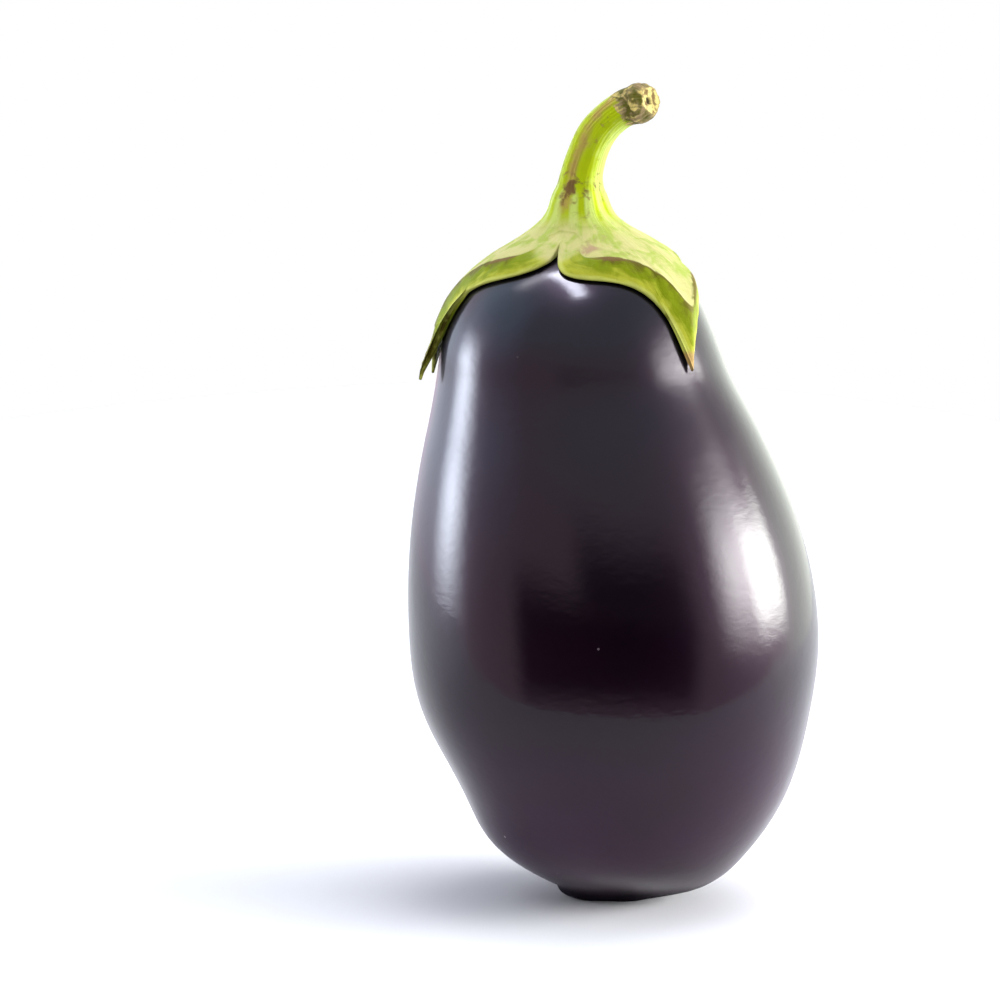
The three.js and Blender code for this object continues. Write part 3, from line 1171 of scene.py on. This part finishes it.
    def stem_radius(self, along: float) -> float:
        """The stem's radius, smoothed between the named ones.

        Args:
            along: The share of the stem's length.

        Returns:
            The radius.
        """
        shares, radii = np.array(self.stem_radii).T
        near = along + np.linspace(-0.02, 0.02, 9)
        return float(np.interp(np.clip(near, shares[0], shares[-1]), shares, radii).mean())

    def stem_ring(self, along: float, radius: float, sides: int) -> Ring:
        """A ring of the stem, square to its middle line, with ribs and fine ridges.

        Args:
            along: The ring's share of the stem's length.
            radius: Its radius.
            sides: How many points it has.

        Returns:
            The ring.
        """
        middle, ahead = self.stem_point(along)
        front = np.array([0.0, -1.0, 0.0]) + ahead * ahead[1]
        front /= np.linalg.norm(front)
        right = np.cross(ahead, front)
        azimuth = self.sepals[0].notch[0] + 360.0 * np.arange(sides) / sides
        turn = np.radians(azimuth)
        depth = lerp(self.rib_at_base, self.rib_at_end, along)
        rib = np.cos(self.rib_count * np.radians(azimuth - self.rib_azimuth))
        run = np.full(sides, along)
        lines = np.stack([6 * np.sin(turn), 6 * np.cos(turn), 3 * run], axis=1)
        ridges = self.ridge_height * roughness_at(lines, 1.5, 5.0)
        knots = np.stack([2.4 * np.sin(turn), 2.4 * np.cos(turn), 18 * run], axis=1)
        knob = float(smoothstep(along, self.knob_start, 0.9))
        wrinkles = self.knob_wrinkle * knob * roughness_at(knots, 1.4, 8.0)
        r = radius * (1 + depth * rib) + (ridges + wrinkles) * min(radius / 4.0, 1.0)
        across = np.sin(turn)[:, None] * right + np.cos(turn)[:, None] * front
        points = middle + r[:, None] * across
        slant = self.cut_slant * float(smoothstep(along, 0.86, 0.97))
        points -= (slant * r * np.cos(turn))[:, None] * ahead
        inward = np.full(sides, 1.0 + along)
        return Ring(points, azimuth, inward, np.full(sides, 99.0), stem=1.0, along=along)

    def cut_rings(self) -> list[Ring]:
        """Closes the cut end with a shallow dish in the flesh and a dark hollow in the pith.

        Returns:
            Its rings, from the rim to the hollow.
        """
        rings = []
        rim = self.stem_radius(1.0)
        for k in range(1, self.cut_rows + 1):
            share = k / (self.cut_rows + 1)
            radius = rim * (1.0 - share)
            along = lerp(1.0, self.dish_along, min(2.0 * share, 1.0))
            if radius < self.dish_radius * 0.6:
                along = self.pith_along
            ring = self.stem_ring(along, radius, self.stem_sides)
            ring.cut = 1.0
            ring.dark = 1.0 if radius < self.dish_radius * 0.5 else 0.0
            rings.append(ring)
        return rings

    def rings(self) -> list[Ring]:
        """Makes the whole skin.

        Returns:
            All rings in order, from the lining under the crown to the hollow of the cut end.
        """
        folds = self.fold_shares()
        ones = np.ones(self.columns)
        made = []
        for k in range(self.lining_rows + 1):
            inward = ones * (1 - k / self.lining_rows) ** self.lining_power
            made.append(self.calyx_ring(inward, Side.LINING))
        made += self.rim_rings()
        for k in range(self.band_rows + 1):
            made.append(self.calyx_ring(folds * k / self.band_rows, Side.OUTSIDE))
        for k in range(1, self.blade_rows + 1):
            inward = lerp(folds, 1.0, (k / self.blade_rows) ** self.blade_power)
            made.append(self.calyx_ring(inward, Side.OUTSIDE))
        shares = np.linspace(self.stem_radii[0][0], 1.0, self.stem_rows)
        for k, along in enumerate(shares):
            sides = self.columns if k < self.wide_rows else self.stem_sides
            made.append(self.stem_ring(float(along), self.stem_radius(float(along)), sides))
        self.smooth_collar(made)
        return made + self.cut_rings()

    def smooth_collar(self, rings: list[Ring]) -> None:
        """Eases the corner between the blade and the stem, over rings with equal numbers of points.

        Args:
            rings: The rings so far, which are changed in place.
        """
        first_stem = next(k for k, ring in enumerate(rings) if ring.stem)
        start = first_stem - self.smooth_rows
        end = first_stem + self.wide_rows - 2
        span = range(start, end)
        for _ in range(self.smooth_rounds):
            for k in span:
                near = (rings[k - 1].points + rings[k + 1].points) / 2
                rings[k].points = lerp(rings[k].points, near, 0.5)
        for k in span:
            rings[k].stem = float(smoothstep(k, start, end - 1))

    def lace(self, rings: list[Ring], crown: Array, pith: Array) -> Item:
        """Laces a closed skin over the rings, which may differ in number of points.

        Args:
            rings: The rings, in order.
            crown: The point that closes the lining.
            pith: The point that closes the cut end.

        Returns:
            The piece.
        """
        points = np.concatenate([crown[None, :], *[ring.points for ring in rings], pith[None, :]])
        count = len(rings[0].points)
        faces = [(0, 1 + i, 1 + (i + 1) % count) for i in range(count)]
        start = 1
        for ring, after in zip(rings, rings[1:]):
            below = len(ring.points)
            above = len(after.points)
            faces += self.strip(start, below, start + below, above)
            start += below
        count = len(rings[-1].points)
        last = len(points) - 1
        faces += [(start + i, last, start + (i + 1) % count) for i in range(count)]
        mesh = bpy.data.meshes.new("calyx_and_stem_skin")
        mesh.from_pydata([tuple(p) for p in points * MM], [], [f[::-1] for f in faces])
        mesh.update()
        piece = bpy.data.objects.new("calyx_and_stem_skin", mesh)
        bpy.context.scene.collection.objects.link(piece)
        return piece

    def strip(self, start: int, below: int, following: int, above: int) -> list[tuple]:
        """The faces between two neighbouring rings.

        Args:
            start: Index of the first ring's first point.
            below: How many points the first ring has.
            following: Index of the second ring's first point.
            above: How many points the second ring has.

        Returns:
            Quads where the rings match, or triangles where they don't.
        """
        if below == above:
            return [
                (start + i, following + i, following + (i + 1) % below, start + (i + 1) % below)
                for i in range(below)
            ]
        faces = []
        i = 0
        j = 0
        while i < below or j < above:
            a = start + i % below
            b = following + j % above
            if i < below and (j >= above or i / below <= j / above):
                faces.append((a, b, start + (i + 1) % below))
                i += 1
            else:
                faces.append((a, b, following + (j + 1) % above))
                j += 1
        return faces

    def dress(self, piece: Item, rings: list[Ring]) -> None:
        """Keeps for each vertex what the finish reads.

        Args:
            piece: The piece.
            rings: The rings that its vertices came from.
        """
        values = {}
        for name, first, last in self.ring_values:
            inner = [np.resize(getattr(ring, name), len(ring.points)) for ring in rings]
            values[name] = np.concatenate([[first], *inner, [last]])
        around = [np.resize(self.from_tip, len(ring.points)) for ring in rings]
        from_tip = np.concatenate([[0.0], *around, [0.0]])
        azimuth = values["azimuth"]
        depth = values["depth"]
        along = values["along"]
        stem = values["stem"]
        points = vertices_of(piece)
        turn = np.radians(azimuth)
        notch = self.near(points, self.open_notches, self.notch_width) * (1.0 - stem)
        tip = smoothstep(self.near(points, self.tips, self.tip_width), 0.25, 0.8)
        dry = self.near(points, self.tips[self.first_dry_tip :], self.dry_width)
        crest_width = lerp(0.55, 1.0, smoothstep(turn_between(azimuth, self.thick_azimuth), -25.0, 0.0))
        crest = 0.8 * bell(depth, self.fold_width, crest_width) * (1.0 - smoothstep(notch, 0.1, 0.5))
        bruise = self.form.over(*(np.array([value]) for value in self.bruise))
        wander = turn_between(azimuth, lerp(-28.0, -52.0, smoothstep(along, 0.5, 0.85)))
        outer = bell(wander, 0.0, lerp(16.0, 22.0, smoothstep(along, 0.2, 0.6)))
        blob = bell(turn_between(azimuth, -24.0), 0.0, 18.0) * bell(along, 0.26, 0.07)
        # painted highlights down the stem's sides that face the right and left windows
        pale_ribs_and_highlight = bell(turn_between(azimuth, 80.0), 0.0, 48.0)
        pale_ribs_and_highlight += 0.6 * bell(turn_between(azimuth, -85.0), 0.0, 28.0)
        stripes = 0.5 + 0.5 * np.cos(np.radians(self.stripe_count * (azimuth - self.stripe_azimuth)))
        # near the base, rib stripes take the place of the painted highlights
        low = 0.9 * (1.0 - smoothstep(along, 0.16, 0.32))
        marks = {
            "grain": np.stack([np.sin(turn), np.cos(turn), 0.25 * values["inward"]], axis=1),
            "flow": np.stack([0.11 * from_tip, 0.55 * np.minimum(depth, 40.0), 0.0 * depth], axis=1),
            "stem": stem,
            # the lining darkens away from the margin: painted shade under the calyx
            "under": values["under"] * smoothstep(depth, 0.4, 2.5),
            "cut": values["cut"],
            "dark": values["dark"],
            "tip": tip * (1.0 - smoothstep(dry, 0.05, 0.2)),
            "band": np.clip(depth / self.fold_width, 0.0, 1.0) * (1.0 - notch),
            "top": np.maximum(smoothstep(depth, 4.2, 5.4), smoothstep(notch, 0.0, 1.0)),
            "scuff": np.maximum(crest, 0.68 * smoothstep(dry, 0.2, 0.8)) * (1.0 - stem),
            "worn": 1.0 - smoothstep(from_tip, 12.0, 30.0),
            "bruise": self.near(points, bruise, self.bruise_width),
            "cork": 0.9 * outer * smoothstep(along, 0.04, 0.16) * stem,
            "blob": np.maximum(blob, 0.32 * bell(along, 0.27, 0.06)) * stem,
            "pale_ribs_and_highlight": np.clip(lerp(pale_ribs_and_highlight, 1.15 - 1.1 * stripes, low), 0.0, 1.0),
            "knob": smoothstep(along, self.knob_start - 0.06, 0.9) * stem,
        }
        for name, mark in marks.items():
            paint(piece, name, mark)

    def build(self, finish: Material) -> Item:
        """Makes the calyx and stem and dresses them.

        Args:
            finish: Their material.

        Returns:
            The finished piece.
        """
        self.draw_margin()
        self.stem_curve()
        rings = self.rings()
        crown = self.form.at_reach(np.zeros(1), np.zeros(1))[0]
        crown[2] += self.crown_gap
        pith = self.stem_point(self.pith_along - 0.01)[0]
        piece = self.lace(rings, crown, pith)
        self.dress(piece, rings)
        dress_smooth(piece, finish)
        return piece


@dataclass(frozen=True)
class Glow:
    """A soft-edged patch of brightness round the object, as the glossy skin mirrors it.

    Its azimuth and elevation, and its half width and half height, are in degrees.
    """

    azimuth: float
    elevation: float
    wide: float
    tall: float
    soft: float
    strength: float
    colour: tuple = (1.0, 1.0, 1.0)


@dataclass(frozen=True)
class Skylight:
    """A soft-edged stripe of brightness overhead, as the glossy skin mirrors it.

    Its middle, half width and half length lie in the plane of level directions, and its turn is
    from front-to-back to the right, in degrees.
    """

    middle: tuple
    wide: float
    long: float
    turn: float
    soft: float
    strength: float
    colour: tuple = (1.0, 1.0, 1.0)


@dataclass
class Studio:
    """A white table in a white tent, with soft windows at both sides, and the camera."""

    table_left: float = 0.50
    table_right: float = 0.38
    table_front: float = 0.165
    table_back: float = 0.90
    table_bow: float = 0.5
    table_corners: int = 96
    tent: tuple = (1.26, 0.94, 1.10, 1.0)
    tent_above: tuple = (1.12, 1.24, 1.38, 1.0)
    ambient: tuple = (0.85, 0.90, 1.0, 1.0)
    front_ambient: tuple = (0.03, 0.03, 0.06, 1.0)
    glows: tuple = (
        Glow(-105, 4, 9, 8, 11, 30.0, (0.86, 0.97, 1.08)),
        Glow(-138, 5, 26, 10, 8, 1.6, (0.55, 0.92, 1.10)),
        Glow(-104, 20, 20, 6, 12, 1.0, (0.84, 0.96, 1.08)),
        Glow(98, 6, 12, 8, 6, 33.0, (0.98, 1.02, 0.95)),
        Glow(80, 10, 15, 10, 10, 26.0, (0.98, 1.0, 0.96)),
        Glow(-96, 36, 38, 24, 16, 0.85, (0.50, 0.94, 1.40)),
        Glow(140, -6, 32, 22, 10, 1.8, (0.82, 1.08, 0.86)),
    )
    skylights: tuple = (
        Skylight((-0.09, -0.03), 0.08, 0.32, 21.0, 0.06, 42.0, (0.88, 0.92, 1.06)),
        Skylight((-0.36, 0.22), 0.18, 0.08, 10.0, 0.08, 8.0, (0.95, 0.95, 1.0)),
    )
    shade: Glow = Glow(-3, -10, 49, 13, 7, 0.985)
    photographer: Glow = Glow(14, 7, 29, 9, 9, 0.90)
    diffuse_shade: Glow = Glow(-5, 10, 62, 40, 16, 0.9)
    camera_place: tuple = (-0.02798, -0.98481, 0.27517)
    camera_down: float = 10.0
    lens: float = 144.0
    sensor: float = 36.0

    def floor(self, finish: Material) -> Item:
        """Lays the table's top at the object's resting height.

        Args:
            finish: Its material.

        Returns:
            The floor.
        """
        deselect_all()
        bpy.ops.mesh.primitive_circle_add(
            vertices=self.table_corners, radius=1.0, fill_type="NGON", location=(0.0, 0.0, 0.0)
        )
        floor = bpy.context.active_object
        floor.name = "studio_floor"
        floor.data.name = "studio_floor"
        for corner in floor.data.vertices:
            across, deep, _ = corner.co
            side = self.table_right if across > 0.0 else self.table_left
            front = max(0.0, -deep) ** self.table_bow
            reach = side + (self.table_front - side) * front
            corner.co.x = across * reach
            corner.co.y = deep * (self.table_front if deep < 0.0 else self.table_back)
        floor.data.materials.append(finish)
        return floor

    def softbox(self, name: str, place: tuple, size: tuple, power: float) -> Item:
        """Hangs a soft light that faces the object and lights what is matt.

        Args:
            name: The light's name.
            place: Where its middle is.
            size: Its width and height.
            power: Its power in watts.

        Returns:
            The light.
        """
        light = bpy.data.lights.new(name, "AREA")
        light.shape = "RECTANGLE"
        light.size, light.size_y = size
        light.energy = power
        lamp = bpy.data.objects.new(name, light)
        lamp.location = place
        way = Vector((0.0, 0.0, 0.10)) - Vector(place)
        lamp.rotation_euler = way.to_track_quat("-Z", "Y").to_euler()
        lamp.visible_camera = False
        lamp.visible_glossy = False
        bpy.context.scene.collection.objects.link(lamp)
        return lamp

    def only_on(self, lamp: Item, lit: Item) -> None:
        """Lets a light reach one object alone.

        Args:
            lamp: The light.
            lit: The object.
        """
        receivers = bpy.data.collections.new(f"lit_by_{lamp.name}")
        receivers.objects.link(lit)
        lamp.light_linking.receiver_collection = receivers

    def lights(self, calyx: Item, floor: Item) -> None:
        """Hangs the soft lights.

        Args:
            calyx: The calyx and stem, which have a fill light of their own.
            floor: The table's top, which has two lights of its own.
        """
        self.softbox("left_window", (-1.1, 0.20, 0.20), (0.5, 0.5), 3.0)
        self.softbox("right_window", (1.0, 0.05, 0.20), (0.6, 0.4), 14.0)
        self.only_on(self.softbox("table_right", (1.0, -0.20, 0.27), (0.7, 0.4), 14.0), floor)
        self.only_on(self.softbox("table_above", (0.3, 0.20, 1.5), (1.2, 1.2), 12.0), floor)
        self.only_on(self.softbox("calyx_fill", (-0.15, -1.10, 1.00), (0.9, 0.9), 13.0), calyx)

    def window(self, nodes: Shading, way: Socket, up: Socket, glow: Glow) -> Socket:
        """How much of a glow lies in each direction.

        Args:
            nodes: The world's nodes.
            way: The direction.
            up: The direction's elevation, in radians.
            glow: The patch of brightness.

        Returns:
            A mask from 0 to 1, with soft edges.
        """
        turn = math.radians(glow.azimuth)
        front = {0: way, 1: (math.sin(turn), -math.cos(turn), 0.0)}
        right = {0: way, 1: (math.cos(turn), math.sin(turn), 0.0)}
        ahead = nodes.vector_math("DOT_PRODUCT", front, "Value")
        side = nodes.vector_math("DOT_PRODUCT", right, "Value")
        away = nodes.math("ABSOLUTE", nodes.math("ARCTAN2", side, ahead))
        above = nodes.math("ABSOLUTE", nodes.math("SUBTRACT", up, math.radians(glow.elevation)))
        soft, wide, tall = np.radians((glow.soft, glow.wide, glow.tall))
        across = nodes.ease(away, wide + soft, wide - soft)
        return nodes.math("MULTIPLY", across, nodes.ease(above, tall + soft, tall - soft))

    def stripe(self, nodes: Shading, way: Socket, height: Socket, skylight: Skylight) -> Socket:
        """How much of a skylight lies in each direction.

        Args:
            nodes: The world's nodes.
            way: The direction.
            height: The direction's upward part.
            skylight: The stripe of brightness.

        Returns:
            A mask from 0 to 1, with soft edges.
        """
        turn = math.radians(skylight.turn)
        from_middle = nodes.vector_math("SUBTRACT", {0: way, 1: (*skylight.middle, 0.0)})
        lines = (
            ((math.cos(turn), math.sin(turn), 0.0), skylight.wide),
            ((-math.sin(turn), math.cos(turn), 0.0), skylight.long),
        )
        mask = nodes.math("GREATER_THAN", height, 0.0)
        for line, half in lines:
            part = nodes.vector_math("DOT_PRODUCT", {0: from_middle, 1: line}, "Value")
            away = nodes.math("ABSOLUTE", part)
            inside = nodes.ease(away, half + skylight.soft, half - skylight.soft)
            mask = nodes.math("MULTIPLY", mask, inside)
        return mask

    def surroundings(self) -> None:
        """Wraps the scene in the tent, with its glows and the dark side where the photographer is."""
        world = bpy.data.worlds.new("white_tent")
        bpy.context.scene.world = world
        world.use_nodes = True
        nodes = Shading(world.node_tree)
        way = nodes.node("ShaderNodeTexCoord").outputs["Generated"]
        height = nodes.node("ShaderNodeSeparateXYZ", {0: way}).outputs["Z"]
        up = nodes.math("ARCSINE", height)
        kept = 1.0
        for dark in (self.shade, self.photographer):
            mask = self.window(nodes, way, up, dark)
            lit = nodes.math("MULTIPLY_ADD", mask, -dark.strength, 1.0)
            kept = nodes.math("MULTIPLY", kept, lit)
        bare = nodes.blend(nodes.ease(height, 0.25, 0.65), self.tent, self.tent_above)
        seen = nodes.vector_math("SCALE", {0: bare, "Scale": kept})
        masks = [(self.window(nodes, way, up, glow), glow) for glow in self.glows]
        masks += [(self.stripe(nodes, way, height, light), light) for light in self.skylights]
        for mask, source in masks:
            share = nodes.math("MULTIPLY", mask, source.strength)
            added = nodes.vector_math("SCALE", {0: source.colour, "Scale": share})
            seen = nodes.vector_math("ADD", {0: seen, 1: added})
        rays = nodes.node("ShaderNodeLightPath").outputs
        unlit = self.window(nodes, way, up, self.diffuse_shade)
        matt = nodes.blend(unlit, self.ambient, self.front_ambient)
        seen = nodes.blend(rays["Is Glossy Ray"], matt, seen)
        seen = nodes.blend(rays["Is Camera Ray"], seen, (1.0, 1.0, 1.0, 1.0))
        sky = nodes.node("ShaderNodeBackground", {"Color": seen}).outputs[0]
        nodes.node("ShaderNodeOutputWorld", {"Surface": sky})

    def camera(self) -> None:
        """Sets the camera at the photograph's place and angle."""
        lens = bpy.data.cameras.new("camera")
        lens.lens = self.lens
        lens.sensor_width = self.sensor
        lens.clip_start = 0.02
        lens.clip_end = 60.0
        camera = bpy.data.objects.new("camera", lens)
        camera.location = self.camera_place
        camera.rotation_euler = (math.radians(90.0 - self.camera_down), 0.0, 0.0)
        bpy.context.scene.collection.objects.link(camera)
        bpy.context.scene.camera = camera

    def build(self, calyx: Item) -> None:
        """Sets up floor, lights, surroundings and camera.

        Args:
            calyx: The calyx and stem.
        """
        floor = self.floor(FloorFinish().build())
        self.lights(calyx, floor)
        self.surroundings()
        self.camera()
        bpy.context.scene.view_settings.view_transform = "Standard"


def main() -> None:
    """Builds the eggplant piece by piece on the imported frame, and reports each."""
    logging.basicConfig(level=logging.INFO, format="%(message)s")
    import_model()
    mottle = PlantMottle().build()
    form = FruitForm()

    fruit = Fruit(form).build(SkinFinish().build(mottle))
    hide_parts("fruit")
    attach(fruit, "root")
    log.info("fruit: %d faces", len(fruit.data.polygons))

    green = CalyxAndStem(form).build(CalyxFinish().build(mottle))
    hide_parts("calyx_and_stem")
    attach(green, "root")
    log.info("calyx and stem: %d faces", len(green.data.polygons))

    Studio().build(green)
    log.info("studio: floor, lights and camera")


if __name__ == "__main__":
    main()
